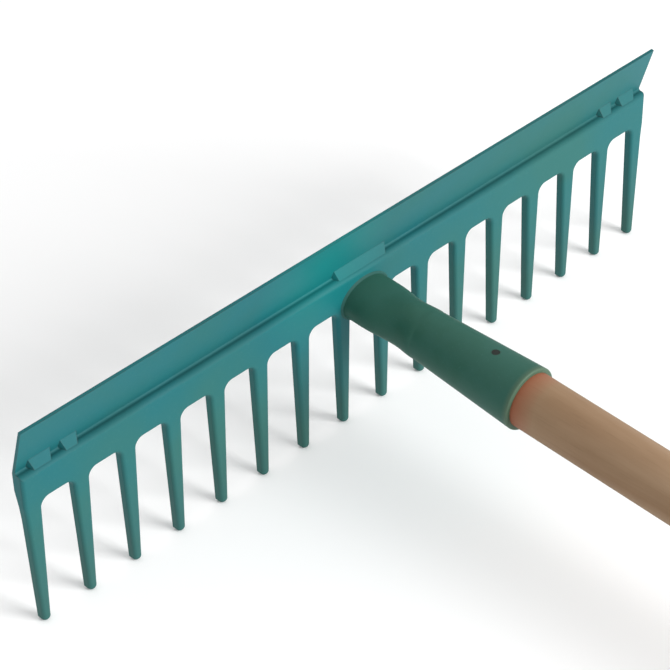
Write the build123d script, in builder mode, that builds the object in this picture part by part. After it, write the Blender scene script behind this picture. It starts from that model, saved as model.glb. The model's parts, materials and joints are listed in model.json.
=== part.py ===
from build123d import *
import math
import os

# Sixteen-tine garden rake lying at rest, in millimetres. The tine tips and the end of
# the handle touch the floor, and the handle runs towards -Y. The origin is on the
# floor, under the middle of the whole rake.

# Pressed head
tine_count = 16
tine_pitch = 27.4
tine_length = 70.0
tine_root_width = 9.2
tine_tip_width = 4.6
tine_tip_rounding = 2.1
gullet_radius = 4.5
band_height = 18.0
head_width = 421.0
end_blend = 8.0
end_rounding = 6.0
edge_depth = 4.5
sheet = 1.5
bend_radius = 1.9
hollow_start = 10.0

# Levelling flange, set back behind the band and leaning over it
step_depth = 4.8
flange_slant = 28.6
flange_lean = 16.5
fold_radius = 3.0
valley_radius = 1.2
rim_height = 10.0

# Low pressed stiffeners that bridge the valley: distance from the middle, and length
stiffeners = [(0.0, 36.0), (181.0, 11.0), (197.5, 14.0)]
stiffener_setback = 1.15
stiffener_rise = 6.0
stiffener_flare = 0.65

# Handle socket, with stations measured along the handle from the front of the head
axis_above_gullets = 1.2
neck_half_width = 15.4
neck_half_height = 10.8
neck_length = 12.0
waist_station = 32.0
waist_radius = 12.6
cone_station = 42.0
mouth_station = 105.5
socket_wall = 2.2
mouth_rounding = 0.9
root_rounding = 0.6
neck_sections = 7

# Weld between the socket and the head
weld_leg = 1.0
weld_toe = 0.2

# Handle
handle_radius = 14.0
handle_end = 1320.0
plug_station = 48.0
plug_rounding = 2.0
wedge_clearance = 0.02

# Nail through the socket into the handle
nail_station = 83.5
nail_radius = 1.0
nail_length = 20.0
nail_head_radius = 1.9
nail_head_height = 0.8
nail_hole_clearance = 0.1
nail_seat_depth = 0.9

# Fitted sizes, and the line of the handle that brings its domed end to the floor
lean = math.radians(flange_lean)
pan_depth = step_depth + sheet / math.cos(lean)
mouth_radius = handle_radius + wedge_clearance + socket_wall
valley_height = tine_length + band_height
axis_height = tine_length + axis_above_gullets
dome_station = handle_end - handle_radius
handle_drop = math.asin((axis_height - handle_radius) / dome_station)
handle_reach = dome_station * math.cos(handle_drop) + handle_radius
head_front = (handle_reach - pan_depth) / 2
half_width = head_width / 2
overrun = 8.0
tolerance = 0.01
from_base = (Align.CENTER, Align.CENTER, Align.MIN)
from_top = (Align.CENTER, Align.CENTER, Align.MAX)

front = Plane.XZ.offset(-head_front)
handle_line = Plane(
    origin=(0, head_front, axis_height),
    x_dir=(1, 0, 0),
    z_dir=(0, -math.cos(handle_drop), -math.sin(handle_drop)),
)


def tine_positions():
    middle = (tine_count - 1) / 2
    return [(i - middle) * tine_pitch for i in range(tine_count)]


def tine_width_at(height):
    share = height / tine_length
    return tine_tip_width + (tine_root_width - tine_tip_width) * share


def flange_back_at(height):
    return head_front + pan_depth - (height - valley_height) * math.tan(lean)


def cone_radius_at(station):
    share = (station - waist_station) / (mouth_station - waist_station)
    return waist_radius + (mouth_radius - waist_radius) * share


# The socket goes from an oval neck to a round waist
def neck_half_sizes(station):
    share = (station - neck_length) / (waist_station - neck_length)
    share = min(max(share, 0.0), 1.0)
    blend = share * share * (3 - 2 * share)
    half_x = neck_half_width + (cone_radius_at(station) - neck_half_width) * blend
    half_z = neck_half_height + (cone_radius_at(station) - neck_half_height) * blend
    return half_x, half_z


def neck_stations(start):
    step = (cone_station - start) / (neck_sections - 1)
    return [start + i * step for i in range(neck_sections)]


# Stiffeners: faces that run from the fold up to the flange, each with a dent behind it
stiffener_bottom = valley_height - sheet / 2
stiffener_top = valley_height + stiffener_rise
stiffener_slope = (flange_back_at(stiffener_top) - sheet / 2 - head_front - stiffener_setback) / (
    stiffener_top - stiffener_bottom
)
dent_offset = sheet * math.hypot(1, stiffener_slope)
dent_bottom = valley_height - 2 * sheet


def stiffener_face_at(height):
    return head_front + stiffener_setback + (height - stiffener_bottom) * stiffener_slope


def stiffener_plan(x, length):
    back = head_front + pan_depth + sheet
    half_front = length / 2 - step_depth * stiffener_flare
    half_back = length / 2 + (back - head_front - step_depth) * stiffener_flare
    return [
        (x - half_front, head_front),
        (x + half_front, head_front),
        (x + half_back, back),
        (x - half_back, back),
    ]


stiffener_places = []
for distance, length in stiffeners:
    for x in sorted({-distance, distance}):
        stiffener_places.append((x, length))

with BuildPart() as stiffener_outside:
    with BuildSketch(Plane.YZ):
        with BuildLine():
            Polyline(
                (stiffener_face_at(stiffener_bottom), stiffener_bottom),
                (stiffener_face_at(stiffener_top), stiffener_top),
                (flange_back_at(valley_height) - sheet / 2, valley_height),
                (flange_back_at(valley_height) - sheet / 2, stiffener_bottom),
                close=True,
            )
        make_face()
    extrude(amount=half_width, both=True)
    with BuildSketch(Plane.XY.offset(dent_bottom)):
        for x, length in stiffener_places:
            with BuildLine():
                Polyline(*stiffener_plan(x, length), close=True)
            make_face()
    extrude(amount=stiffener_rise + 2 * sheet + overrun, mode=Mode.INTERSECT)

with BuildPart() as stiffener_inside:
    with BuildSketch(Plane.YZ):
        with BuildLine():
            Polyline(
                (stiffener_face_at(dent_bottom) + dent_offset, dent_bottom),
                (stiffener_face_at(stiffener_top) + dent_offset, stiffener_top),
                (head_front + pan_depth + sheet, stiffener_top),
                (head_front + pan_depth + sheet, dent_bottom),
                close=True,
            )
        make_face()
    extrude(amount=half_width, both=True)
    with BuildSketch(Plane.XY.offset(dent_bottom)):
        for x, length in stiffener_places:
            with BuildLine():
                Polyline(*stiffener_plan(x, length - 2 * sheet), close=True)
            make_face()
    extrude(amount=stiffener_rise + 2 * sheet + overrun, mode=Mode.INTERSECT)

# Rake head: band and tines pressed forward with their edges turned back, and a
# flange that rises behind them and leans towards the handle
outer_tine = tine_positions()[-1]
blend_height = tine_length - end_blend
blend_edge = outer_tine + tine_width_at(blend_height) / 2

with BuildPart() as rake_head:
    with BuildSketch(front) as comb_outline:
        with BuildLine():
            Polyline(
                (0, tine_length),
                (outer_tine, tine_length),
                (outer_tine, blend_height),
                (blend_edge, blend_height),
                (half_width, tine_length),
                (half_width, valley_height),
                (0, valley_height),
                close=True,
            )
        make_face()
        mirror(about=Plane.YZ)
        for x in tine_positions():
            with BuildLine():
                Polyline(
                    (x - tine_tip_width / 2, 0),
                    (x + tine_tip_width / 2, 0),
                    (x + tine_root_width / 2, tine_length),
                    (x - tine_root_width / 2, tine_length),
                    close=True,
                )
            make_face()
        tip_corners = comb_outline.vertices().filter_by(lambda v: abs(v.Y) < tolerance)
        fillet(tip_corners, radius=tine_tip_rounding)
        gullet_corners = comb_outline.vertices().filter_by(
            lambda v: abs(v.Y - tine_length) < tolerance and abs(v.X) < outer_tine
        )
        fillet(gullet_corners, radius=gullet_radius)
        end_corners = comb_outline.vertices().filter_by(
            lambda v: blend_height - tolerance < v.Y < tine_length + tolerance
            and abs(v.X) > blend_edge - tolerance
        )
        fillet(end_corners, radius=end_rounding)
    extrude(amount=-edge_depth)
    front_face = rake_head.faces().filter_by(Plane.XZ).sort_by(Axis.Y)[0]
    fillet(front_face.edges(), radius=bend_radius)

    # Flange, and the deeper rim that joins it to the edges of the band
    base_front = head_front + step_depth
    top_front = base_front - flange_slant * math.sin(lean)
    top_height = valley_height + flange_slant * math.cos(lean)
    with BuildSketch(Plane.YZ):
        with BuildLine():
            Polyline(
                (head_front + sheet, valley_height),
                (base_front, valley_height),
                (top_front, top_height),
                (top_front + sheet * math.cos(lean), top_height + sheet * math.sin(lean)),
                (head_front + pan_depth, valley_height),
                (head_front + pan_depth, valley_height - rim_height),
                (head_front + edge_depth, tine_length),
                (head_front + sheet, tine_length),
                close=True,
            )
        make_face()
    extrude(amount=half_width, both=True)
    valley = rake_head.edges().filter_by(Axis.X).filter_by(
        lambda e: abs(e.center().Y - base_front) < tolerance
        and abs(e.center().Z - valley_height) < tolerance
    )
    fillet(valley, radius=valley_radius)

    # Rounder fold along the top of the band
    with BuildSketch(Plane.YZ):
        with Locations((head_front, valley_height)):
            Rectangle(2 * fold_radius, 2 * fold_radius)
        with Locations((head_front + fold_radius, valley_height - fold_radius)):
            Circle(fold_radius, mode=Mode.SUBTRACT)
    extrude(amount=half_width + overrun, both=True, mode=Mode.SUBTRACT)

    # Hollow behind the pressed band and tines
    with BuildSketch(front.offset(-sheet)):
        with Locations((0, (tine_length + valley_height) / 2)):
            Rectangle(head_width - 2 * sheet, band_height - 2 * sheet)
        low_half = tine_width_at(hollow_start) / 2 - sheet
        high_half = tine_root_width / 2 - sheet
        for x in tine_positions():
            with BuildLine():
                Polyline(
                    (x - low_half, hollow_start),
                    (x + low_half, hollow_start),
                    (x + high_half, tine_length + 2 * sheet),
                    (x - high_half, tine_length + 2 * sheet),
                    close=True,
                )
            make_face()
    extrude(amount=-overrun, mode=Mode.SUBTRACT)

    # Stiffeners, each raised in front and dented behind
    add(stiffener_outside.part)
    add(stiffener_inside.part, mode=Mode.SUBTRACT)

# Socket: oval neck against the head, then a round taper that opens towards the handle
with BuildPart() as socket_shape:
    for station in neck_stations(-overrun):
        half_x, half_z = neck_half_sizes(station)
        with BuildSketch(handle_line.offset(station)):
            Ellipse(half_x, half_z)
    loft()
    for station in (cone_station, mouth_station):
        with BuildSketch(handle_line.offset(station)):
            Circle(cone_radius_at(station))
    loft()
    split(bisect_by=front, keep=Keep.TOP)
    fillet(
        socket_shape.faces().sort_by(Axis.Y)[-1].edges(),
        radius=root_rounding,
    )
    fillet(
        socket_shape.faces().sort_by(Axis.Y)[0].edges(),
        radius=mouth_rounding,
    )

nail_seat = cone_radius_at(nail_station) - nail_seat_depth
nail_line = Plane(
    origin=handle_line.from_local_coords((0, nail_seat, nail_station)),
    x_dir=(1, 0, 0),
    z_dir=handle_line.y_dir,
)

with BuildPart() as handle_socket:
    add(socket_shape.part)
    for station in neck_stations(socket_wall + root_rounding):
        half_x, half_z = neck_half_sizes(station)
        with BuildSketch(handle_line.offset(station)):
            Ellipse(half_x - socket_wall, half_z - socket_wall)
    loft(mode=Mode.SUBTRACT)
    for station in (cone_station, mouth_station):
        with BuildSketch(handle_line.offset(station)):
            Circle(cone_radius_at(station) - socket_wall)
    loft(mode=Mode.SUBTRACT)
    with Locations(nail_line):
        Cylinder(
            nail_head_radius + nail_hole_clearance,
            overrun,
            align=from_base,
            mode=Mode.SUBTRACT,
        )
        Cylinder(
            nail_radius + nail_hole_clearance,
            overrun,
            align=from_top,
            mode=Mode.SUBTRACT,
        )

# Weld bead round the neck, left open over the gap between the middle tines
middle_gap = tine_pitch - tine_root_width
with BuildPart() as socket_weld:
    for rise, spread in ((0, weld_leg), (weld_leg, weld_toe)):
        with BuildSketch(front.offset(rise)):
            with Locations((0, axis_height)):
                Ellipse(neck_half_width + spread, neck_half_height + spread)
    loft()
    add(socket_shape.part, mode=Mode.SUBTRACT)
    with Locations((0, head_front, tine_length)):
        Box(middle_gap, 2 * overrun, 2 * tine_length, align=from_top, mode=Mode.SUBTRACT)

# Handle: tapered plug in the socket, straight shaft, domed end on the floor
plug_radius = cone_radius_at(plug_station) - socket_wall - wedge_clearance
with BuildPart() as handle:
    with Locations(handle_line.offset(plug_station)):
        Cone(plug_radius, handle_radius, mouth_station - plug_station, align=from_base)
    fillet(handle.faces().sort_by(Axis.Y)[-1].edges(), radius=plug_rounding)
    with Locations(handle_line.offset(mouth_station)):
        Cylinder(handle_radius, dome_station - mouth_station, align=from_base)
    with Locations(handle_line.offset(dome_station)):
        Sphere(handle_radius)
    with Locations(nail_line):
        Cylinder(
            nail_radius + wedge_clearance,
            nail_length + wedge_clearance,
            align=from_top,
            mode=Mode.SUBTRACT,
        )

# Nail
with BuildPart() as socket_nail:
    with Locations(nail_line):
        Cylinder(nail_head_radius, nail_head_height, align=from_base)
        Cylinder(nail_radius, nail_length, align=from_top)

os.makedirs("parts", exist_ok=True)
rake_head.part.label = "rake_head"
export_step(rake_head.part, "parts/rake_head.step")
handle_socket.part.label = "handle_socket"
export_step(handle_socket.part, "parts/handle_socket.step")
socket_weld.part.label = "socket_weld"
export_step(socket_weld.part, "parts/socket_weld.step")
handle.part.label = "handle"
export_step(handle.part, "parts/handle.step")
socket_nail.part.label = "socket_nail"
export_step(socket_nail.part, "parts/socket_nail.step")
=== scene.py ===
import json
import math

import bpy
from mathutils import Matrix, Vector


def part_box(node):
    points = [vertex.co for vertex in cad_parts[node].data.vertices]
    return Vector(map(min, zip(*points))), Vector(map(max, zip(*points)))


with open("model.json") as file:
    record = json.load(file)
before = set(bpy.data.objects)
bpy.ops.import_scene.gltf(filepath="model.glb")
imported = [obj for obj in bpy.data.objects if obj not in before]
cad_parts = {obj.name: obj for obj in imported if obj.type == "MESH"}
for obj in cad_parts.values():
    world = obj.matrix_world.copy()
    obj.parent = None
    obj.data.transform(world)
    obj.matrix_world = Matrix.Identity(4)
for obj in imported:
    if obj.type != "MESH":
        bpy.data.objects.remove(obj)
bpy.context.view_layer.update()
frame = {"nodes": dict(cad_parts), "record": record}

nodes = frame["nodes"]
print("rake loaded:", ", ".join(sorted(nodes)))

# The handle's line comes from the grip mount, and the head's front from the weld on it
grip = frame["record"]["mounts"][0]
gripSpot = grip["pos_m"]
handleAim = Vector(grip["axis"])
dropAngle = math.asin(-handleAim.z)
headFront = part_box("socket_weld")[1][1]
axisHeight = gripSpot[2] + (headFront - gripSpot[1]) * math.tan(dropAngle)


def addNode(tree, kind, place, **settings):
    node = tree.nodes.new(kind)
    node.location = place
    for name, value in settings.items():
        setattr(node, name, value)
    return node


def setInputs(node, values):
    for name, value in values.items():
        node.inputs[name].default_value = value


def feed(tree, socket, value):
    # a number or colour is typed in, anything else is a link
    if isinstance(value, (int, float, tuple)):
        socket.default_value = value
    else:
        tree.links.new(value, socket)


def doMath(tree, place, operation, first, second):
    node = addNode(tree, "ShaderNodeMath", place, operation=operation)
    feed(tree, node.inputs[0], first)
    feed(tree, node.inputs[1], second)
    return node.outputs[0]


def mapRange(tree, place, value, low, high, outLow=0.0, outHigh=1.0):
    node = addNode(tree, "ShaderNodeMapRange", place)
    limits = {"From Min": low, "From Max": high, "To Min": outLow, "To Max": outHigh}
    setInputs(node, limits)
    feed(tree, node.inputs["Value"], value)
    return node.outputs[0]


def mixColour(tree, place, factor, first, second):
    node = addNode(tree, "ShaderNodeMix", place, data_type="RGBA")
    feed(tree, node.inputs[0], factor)
    feed(tree, node.inputs[6], first)
    feed(tree, node.inputs[7], second)
    return node.outputs[2]


def objectCoords(tree, place, turn=(0, 0, 0), stretch=(1, 1, 1)):
    coords = addNode(tree, "ShaderNodeTexCoord", (place[0] - 200, place[1]))
    mapping = addNode(tree, "ShaderNodeMapping", place)
    setInputs(mapping, {"Rotation": turn, "Scale": stretch})
    feed(tree, mapping.inputs["Vector"], coords.outputs["Object"])
    return mapping.outputs["Vector"]


def noise(tree, place, coords, scale, detail=3.0, roughness=0.5):
    node = addNode(tree, "ShaderNodeTexNoise", place)
    setInputs(node, {"Detail": detail, "Roughness": roughness})
    feed(tree, node.inputs["Scale"], scale)
    feed(tree, node.inputs["Vector"], coords)
    return node.outputs["Fac"]


def newGroup(name, inputs, outputs):
    group = bpy.data.node_groups.new(name, "ShaderNodeTree")
    for label, value in inputs.items():
        socket = group.interface.new_socket(label, in_out="INPUT", socket_type="NodeSocketFloat")
        socket.default_value = value
    for label in outputs:
        group.interface.new_socket(label, in_out="OUTPUT", socket_type="NodeSocketFloat")
    given = addNode(group, "NodeGroupInput", (-1100, 0)).outputs
    result = addNode(group, "NodeGroupOutput", (700, 0)).inputs
    return group, given, result


def placeGroup(tree, group, place, values):
    node = addNode(tree, "ShaderNodeGroup", place, node_tree=group)
    setInputs(node, values)
    return node.outputs


# Worn edges: on a sharp edge the rounded normal leaves the true one
def makeEdgeWear():
    group, given, result = newGroup("edgeWear", {"Reach": 0.0008, "Patch Size": 60.0}, ["Wear"])
    rounded = addNode(group, "ShaderNodeBevel", (-800, 200), samples=4)
    feed(group, rounded.inputs["Radius"], given["Reach"])
    surface = addNode(group, "ShaderNodeNewGeometry", (-800, 0))
    agree = addNode(group, "ShaderNodeVectorMath", (-600, 100), operation="DOT_PRODUCT")
    feed(group, agree.inputs[0], rounded.outputs[0])
    feed(group, agree.inputs[1], surface.outputs["Normal"])
    edge = mapRange(group, (-400, 100), agree.outputs["Value"], 0.995, 0.90)
    patches = noise(group, (-600, -200), objectCoords(group, (-800, -300)), given["Patch Size"], 6.0, 0.65)
    spread = mapRange(group, (-400, -200), patches, 0.32, 0.56)
    feed(group, result["Wear"], doMath(group, (0, 0), "MULTIPLY", edge, spread))
    return group


# Painted shade darkens corners and creases, and faces that look up take painted top shading in a colour
# each paint sets, both broken into patches
def makeShadeAndTopLight():
    group, given, result = newGroup("shadeAndTopLight", {"Reach": 0.008, "Patch Size": 25.0}, ["Grime", "Top Shading"])
    hollow = addNode(group, "ShaderNodeAmbientOcclusion", (-800, 300), samples=6, only_local=True)
    feed(group, hollow.inputs["Distance"], given["Reach"])
    depth = mapRange(group, (-600, 300), hollow.outputs["AO"], 0.85, 0.35)
    patches = noise(group, (-800, 0), objectCoords(group, (-950, -100)), given["Patch Size"], 5.0, 0.6)
    broken = mapRange(group, (-600, 0), patches, 0.3, 0.65, 0.35, 1.0)
    feed(group, result["Grime"], doMath(group, (0, 250), "MULTIPLY", depth, broken))
    surface = addNode(group, "ShaderNodeNewGeometry", (-800, -300))
    split = addNode(group, "ShaderNodeSeparateXYZ", (-600, -300))
    feed(group, split.inputs[0], surface.outputs["Normal"])
    upward = mapRange(group, (-400, -300), split.outputs["Z"], 0.2, 1.0)
    feed(group, result["Top Shading"], doMath(group, (0, -300), "MULTIPLY", upward, broken))
    return group


# Sprayed enamel: orange peel and sags, slow drifts of tone, and small specks
def makeEnamelRelief():
    inputs = {"Peel Size": 400.0, "Drift Size": 11.0}
    group, given, result = newGroup("enamelRelief", inputs, ["Height", "Drift", "Speckle"])
    coords = objectCoords(group, (-900, 0))
    peel = noise(group, (-650, 300), coords, given["Peel Size"])
    sags = noise(group, (-650, 0), coords, 60.0, 2.0)
    sags = doMath(group, (-400, 100), "MULTIPLY", sags, 2.5)
    feed(group, result["Height"], doMath(group, (0, 200), "ADD", peel, sags))
    drift = noise(group, (-650, -300), coords, given["Drift Size"], 4.0, 0.55)
    feed(group, result["Drift"], mapRange(group, (-400, -300), drift, 0.36, 0.64))
    specks = noise(group, (-650, -600), coords, 900.0, 2.0)
    feed(group, result["Speckle"], mapRange(group, (-400, -600), specks, 0.62, 0.75))
    return group


# Distance from the head's front face along the handle, in metres
def makeAlongHandle():
    group, given, result = newGroup("alongHandle", {}, ["Station"])
    coords = addNode(group, "ShaderNodeTexCoord", (-800, 0))
    offset = addNode(group, "ShaderNodeVectorMath", (-600, 0), operation="SUBTRACT")
    offset.inputs[1].default_value = (0, headFront, axisHeight)
    feed(group, offset.inputs[0], coords.outputs["Object"])
    run = addNode(group, "ShaderNodeVectorMath", (-400, 0), operation="DOT_PRODUCT")
    run.inputs[1].default_value = handleAim
    feed(group, run.inputs[0], offset.outputs[0])
    feed(group, result["Station"], run.outputs["Value"])
    return group


edgeWear = makeEdgeWear()
shadeAndTopLight = makeShadeAndTopLight()
enamelRelief = makeEnamelRelief()
alongHandle = makeAlongHandle()
print("shared effects made")


def startMaterial(name):
    material = bpy.data.materials.new(name)
    material.use_nodes = True
    tree = material.node_tree
    return material, tree, tree.nodes["Principled BSDF"]


def makeEnamel(name, look):
    material, tree, shader = startMaterial(name)
    sizes = {"Peel Size": look["peelSize"], "Drift Size": look["driftSize"]}
    relief = placeGroup(tree, enamelRelief, (-1000, 300), sizes)
    wear = placeGroup(tree, edgeWear, (-1000, 0), {"Reach": look["wearReach"]})["Wear"]
    shading = placeGroup(tree, shadeAndTopLight, (-1000, -300), {"Reach": look["creviceShadeReach"]})

    colour = mixColour(tree, (-600, 400), relief["Drift"], look["deepTone"], look["paleTone"])
    specks = doMath(tree, (-600, 200), "MULTIPLY", relief["Speckle"], look["specks"])
    colour = mixColour(tree, (-450, 400), specks, colour, look["speckTone"])
    # Painted shade darkens creases and corners, such as the valley of the fold
    creviceShade = doMath(tree, (-600, 50), "MULTIPLY", shading["Grime"], look["creviceShade"])
    colour = mixColour(tree, (-300, 400), creviceShade, colour, look["creviceShadeTone"])
    # Faces that look up take painted top shading: painted shade on the head, painted light on the socket
    # and weld
    topShading = doMath(tree, (-600, -100), "MULTIPLY", shading["Top Shading"], look["topShading"])
    colour = mixColour(tree, (-150, 400), topShading, colour, look["topShadingTone"])
    worn = doMath(tree, (-600, -250), "MULTIPLY", wear, look["wear"])
    colour = mixColour(tree, (0, 400), worn, colour, look["wornTone"])
    feed(tree, shader.inputs["Base Color"], colour)

    rough = doMath(tree, (-450, -100), "MULTIPLY", relief["Drift"], look["roughDrift"])
    rough = doMath(tree, (-300, -100), "ADD", rough, look["rough"])
    topShadingRough = doMath(tree, (-300, -250), "MULTIPLY", topShading, look["topShadingRough"])
    rough = doMath(tree, (-150, -100), "ADD", rough, topShadingRough)
    feed(tree, shader.inputs["Roughness"], rough)
    feed(tree, shader.inputs["Metallic"], doMath(tree, (-150, -250), "MULTIPLY", worn, look["wornMetal"]))
    bump = addNode(tree, "ShaderNodeBump", (-150, -450))
    setInputs(bump, {"Strength": look["bump"], "Distance": look["bumpDepth"]})
    feed(tree, bump.inputs["Height"], relief["Height"])
    feed(tree, shader.inputs["Normal"], bump.outputs[0])
    shader.inputs["Specular IOR Level"].default_value = look["gloss"]
    return material, tree, shader, colour


# Teal head, greener and duller towards the tips, with one patch of painted sheen in brighter teal on the
# flange
headPaint = {
    "deepTone": (0.005, 0.112, 0.126, 1),
    "paleTone": (0.018, 0.115, 0.107, 1),
    "speckTone": (0.040, 0.165, 0.155, 1),
    "specks": 0.25,
    # painted shade in creases and on faces that look up
    "creviceShadeTone": (0.007, 0.050, 0.054, 1),
    "creviceShade": 0.55,
    "creviceShadeReach": 0.006,
    "topShadingTone": (0.006, 0.066, 0.070, 1),
    "topShading": 0.5,
    "topShadingRough": 0.5,
    "wornTone": (0.030, 0.060, 0.060, 1),
    "wear": 0.85,
    "wearReach": 0.0009,
    "wornMetal": 0.3,
    "peelSize": 420.0,
    "driftSize": 11.0,
    "rough": 0.52,
    "roughDrift": 0.12,
    "bump": 0.10,
    "bumpDepth": 0.0003,
    "gloss": 0.22,
    "tipTone": (0.033, 0.094, 0.074, 1),
    "tipAmount": 0.6,
    "tipHeights": (0.062, 0.012),
    "sheenTone": (0.001, 0.165, 0.160, 1),
    "sheenSpot": (-0.026, headFront, 0.102),
    "sheenSize": 0.045,
    "sheenAmount": 0.8,
}


def tintHead(tree, shader, colour, look):
    coords = addNode(tree, "ShaderNodeTexCoord", (-300, 900))
    split = addNode(tree, "ShaderNodeSeparateXYZ", (-100, 1000))
    feed(tree, split.inputs[0], coords.outputs["Object"])
    tipTop, tipBottom = look["tipHeights"]
    low = mapRange(tree, (100, 1000), split.outputs["Z"], tipTop, tipBottom, 0.0, look["tipAmount"])
    colour = mixColour(tree, (300, 700), low, colour, look["tipTone"])
    # painted sheen: a round patch of brighter teal
    away = addNode(tree, "ShaderNodeVectorMath", (-100, 800), operation="DISTANCE")
    away.inputs[1].default_value = look["sheenSpot"]
    feed(tree, away.inputs[0], coords.outputs["Object"])
    distance = away.outputs["Value"]
    sheen = mapRange(tree, (100, 800), distance, look["sheenSize"], 0.0, 0.0, look["sheenAmount"])
    feed(tree, shader.inputs["Base Color"], mixColour(tree, (500, 700), sheen, colour, look["sheenTone"]))


headEnamel, headTree, headShader, headColour = makeEnamel("headEnamel", headPaint)
tintHead(headTree, headShader, headColour, headPaint)

# Dark green socket, paler on the cut rim of its mouth
socketPaint = dict(
    headPaint,
    deepTone=(0.017, 0.084, 0.055, 1),
    paleTone=(0.028, 0.104, 0.082, 1),
    speckTone=(0.05, 0.15, 0.12, 1),
    creviceShadeTone=(0.010, 0.034, 0.026, 1),
    # painted light on faces that look up
    topShadingTone=(0.085, 0.15, 0.12, 1),
    topShading=0.06,
    wornTone=(0.03, 0.05, 0.04, 1),
    driftSize=20.0,
    rough=0.46,
    rimTone=(0.072, 0.122, 0.078, 1),
    rimStations=(0.1022, 0.1048),
    rimAmount=0.85,
)
socketEnamel, socketTree, socketShader, socketColour = makeEnamel("socketEnamel", socketPaint)
station = placeGroup(socketTree, alongHandle, (0, 800), {})["Station"]
rimStart, rimEnd = socketPaint["rimStations"]
rim = mapRange(socketTree, (200, 800), station, rimStart, rimEnd, 0.0, socketPaint["rimAmount"])
rimColour = mixColour(socketTree, (400, 600), rim, socketColour, socketPaint["rimTone"])
feed(socketTree, socketShader.inputs["Base Color"], rimColour)

# The weld took both coats and shows the lumps of its bead
weldPaint = dict(
    socketPaint,
    deepTone=(0.012, 0.080, 0.066, 1),
    paleTone=(0.020, 0.100, 0.088, 1),
    peelSize=260.0,
    bump=0.3,
    wear=0.3,
)
weldEnamel = makeEnamel("weldEnamel", weldPaint)[0]
print("paint made")

# Turned wood with long grain, darker and redder in a ragged band beside the socket mouth
handleWood = {
    "paleTone": (0.320, 0.212, 0.128, 1),
    "deepTone": (0.210, 0.122, 0.062, 1),
    "poreTone": (0.120, 0.066, 0.034, 1),
    "mouthBandTone": (0.250, 0.062, 0.025, 1),
    "mouthBandStations": (0.124, 0.112),
    "mouthBandAmount": 0.8,
    "mouthBandRagged": 0.012,
    "grainStretch": (150, 6, 150),
    "poreStretch": (1400, 40, 1400),
    "patchStretch": (42, 12, 42),
    "grainShare": 0.4,
    "patchShare": 0.6,
    "pores": 0.22,
    "creviceShade": 0.6,
    "rough": 0.58,
    "roughGrain": 0.12,
    "bump": 0.2,
    "bumpDepth": 0.0003,
    "gloss": 0.3,
}


def makeWood(look):
    material, tree, shader = startMaterial("handleWood")
    turn = (-dropAngle, 0, 0)
    along = objectCoords(tree, (-1100, 500), turn, look["grainStretch"])
    grain = noise(tree, (-900, 500), along, 1.0, 5.0, 0.6)
    pores = noise(tree, (-900, 200), objectCoords(tree, (-1100, 200), turn, look["poreStretch"]), 1.0)
    broad = noise(tree, (-900, -100), objectCoords(tree, (-1100, -100), turn, look["patchStretch"]), 1.0)
    grain = mapRange(tree, (-700, 500), grain, 0.28, 0.72)
    patch = mapRange(tree, (-700, -100), broad, 0.3, 0.7)
    tone = doMath(tree, (-500, 500), "MULTIPLY", grain, look["grainShare"])
    patchTone = doMath(tree, (-500, 350), "MULTIPLY", patch, look["patchShare"])
    tone = doMath(tree, (-350, 500), "ADD", tone, patchTone)
    colour = mixColour(tree, (-200, 500), tone, look["paleTone"], look["deepTone"])
    poreMask = mapRange(tree, (-500, 100), pores, 0.58, 0.78, 0.0, look["pores"])
    colour = mixColour(tree, (-50, 500), poreMask, colour, look["poreTone"])

    station = placeGroup(tree, alongHandle, (-500, 900), {})["Station"]
    ragged = doMath(tree, (-350, 800), "MULTIPLY", broad, look["mouthBandRagged"])
    reach = doMath(tree, (-200, 900), "ADD", station, ragged)
    bandEnd, bandStart = look["mouthBandStations"]
    mouthBand = mapRange(tree, (-50, 900), reach, bandEnd, bandStart, 0.0, look["mouthBandAmount"])
    colour = mixColour(tree, (150, 500), mouthBand, colour, look["mouthBandTone"])
    # Painted shade darkens the wood in corners
    creviceShade = placeGroup(tree, shadeAndTopLight, (-300, -400), {})["Grime"]
    creviceShade = doMath(tree, (150, 300), "MULTIPLY", creviceShade, look["creviceShade"])
    colour = mixColour(tree, (300, 500), creviceShade, colour, look["poreTone"])
    feed(tree, shader.inputs["Base Color"], colour)

    rough = doMath(tree, (0, 100), "MULTIPLY", grain, look["roughGrain"])
    rough = doMath(tree, (150, 100), "ADD", rough, look["rough"])
    feed(tree, shader.inputs["Roughness"], rough)
    bump = addNode(tree, "ShaderNodeBump", (100, -300))
    setInputs(bump, {"Strength": look["bump"], "Distance": look["bumpDepth"]})
    feed(tree, bump.inputs["Height"], doMath(tree, (-100, -300), "ADD", grain, poreMask))
    feed(tree, shader.inputs["Normal"], bump.outputs[0])
    shader.inputs["Specular IOR Level"].default_value = look["gloss"]
    return material


woodFinish = makeWood(handleWood)
print("wood made")

# Dull nail coloured near black as painted shade of the head sunk in its hole, with rust in its pits
nailSteel = {
    "paleTone": (0.020, 0.028, 0.024, 1),
    "rustTone": (0.016, 0.014, 0.011, 1),
    "spotSize": 700.0,
    "rough": 0.55,
    "rustRough": 0.3,
    "bareMetal": 0.6,
    "rustMetal": 0.1,
}


def makeNailSteel(look):
    material, tree, shader = startMaterial("nailSteel")
    spots = noise(tree, (-700, 200), objectCoords(tree, (-900, 200)), look["spotSize"], 4.0)
    rust = mapRange(tree, (-500, 200), spots, 0.4, 0.6)
    colour = mixColour(tree, (-300, 200), rust, look["paleTone"], look["rustTone"])
    feed(tree, shader.inputs["Base Color"], colour)
    rough = doMath(tree, (-300, 0), "MULTIPLY", rust, look["rustRough"])
    rough = doMath(tree, (-150, 0), "ADD", rough, look["rough"])
    feed(tree, shader.inputs["Roughness"], rough)
    metal = mapRange(tree, (-300, -200), spots, 0.4, 0.6, look["bareMetal"], look["rustMetal"])
    feed(tree, shader.inputs["Metallic"], metal)
    return material


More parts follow.
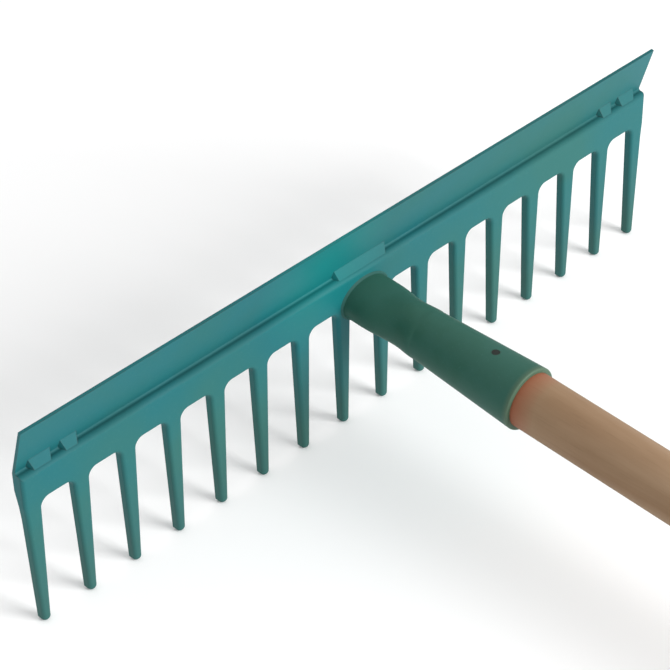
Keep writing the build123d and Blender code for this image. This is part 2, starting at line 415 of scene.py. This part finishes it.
finishes = {
    "rake_head": headEnamel,
    "handle_socket": socketEnamel,
    "socket_weld": weldEnamel,
    "handle": woodFinish,
    "socket_nail": makeNailSteel(nailSteel),
}
for name, material in finishes.items():
    nodes[name].data.materials.clear()
    nodes[name].data.materials.append(material)
print("finishes placed on", len(finishes), "pieces")

# Pale floor, a bright sheet of sky and one large soft light in front of the head
studio = {
    "floorTone": (0.93, 0.93, 0.93, 1),
    "floorSize": 12.0,
    "floorGap": 0.0002,
    "floorRough": 0.9,
    "floorGloss": 0.1,
    "skyTone": (1.0, 1.0, 1.0, 1),
    "skyStrength": 0.82,
    "keySpot": (0.9, -1.9, 1.25),
    "keyAim": (0.0, 0.6, 0.05),
    "keySize": 1.6,
    "keyPower": 100.0,
}


def makeFloor():
    spot = (0, 0, -studio["floorGap"])
    bpy.ops.mesh.primitive_plane_add(size=studio["floorSize"], location=spot)
    floor = bpy.context.object
    floor.name = "studioFloor"
    material, tree, shader = startMaterial("studioPaper")
    setInputs(shader, {"Base Color": studio["floorTone"], "Roughness": studio["floorRough"]})
    shader.inputs["Specular IOR Level"].default_value = studio["floorGloss"]
    floor.data.materials.append(material)


def makeLight():
    world = bpy.data.worlds.new("studioSky")
    bpy.context.scene.world = world
    world.use_nodes = True
    sky = world.node_tree.nodes["Background"]
    setInputs(sky, {"Color": studio["skyTone"], "Strength": studio["skyStrength"]})
    keyData = bpy.data.lights.new("keyLight", "AREA")
    keyData.size = studio["keySize"]
    keyData.energy = studio["keyPower"]
    key = bpy.data.objects.new("keyLight", keyData)
    bpy.context.collection.objects.link(key)
    key.location = studio["keySpot"]
    aim = Vector(studio["keyAim"]) - Vector(studio["keySpot"])
    key.rotation_euler = aim.to_track_quat("-Z", "Y").to_euler()


camera = {
    "spot": (-0.66577, -0.00332, 0.78451),
    "turn": (51.804, 0.995, -45.155),
    "lens": 131.82,
    "sensor": 36.0,
    "clip": (0.01, 50.0),
}


def makeCamera():
    cameraData = bpy.data.cameras.new("rakeCamera")
    cameraData.lens = camera["lens"]
    cameraData.sensor_width = camera["sensor"]
    cameraData.clip_start, cameraData.clip_end = camera["clip"]
    rakeCamera = bpy.data.objects.new("rakeCamera", cameraData)
    bpy.context.collection.objects.link(rakeCamera)
    rakeCamera.location = camera["spot"]
    rakeCamera.rotation_euler = [math.radians(angle) for angle in camera["turn"]]
    bpy.context.scene.camera = rakeCamera


makeFloor()
makeLight()
makeCamera()
bpy.context.scene.view_settings.view_transform = "Standard"
print("studio ready")
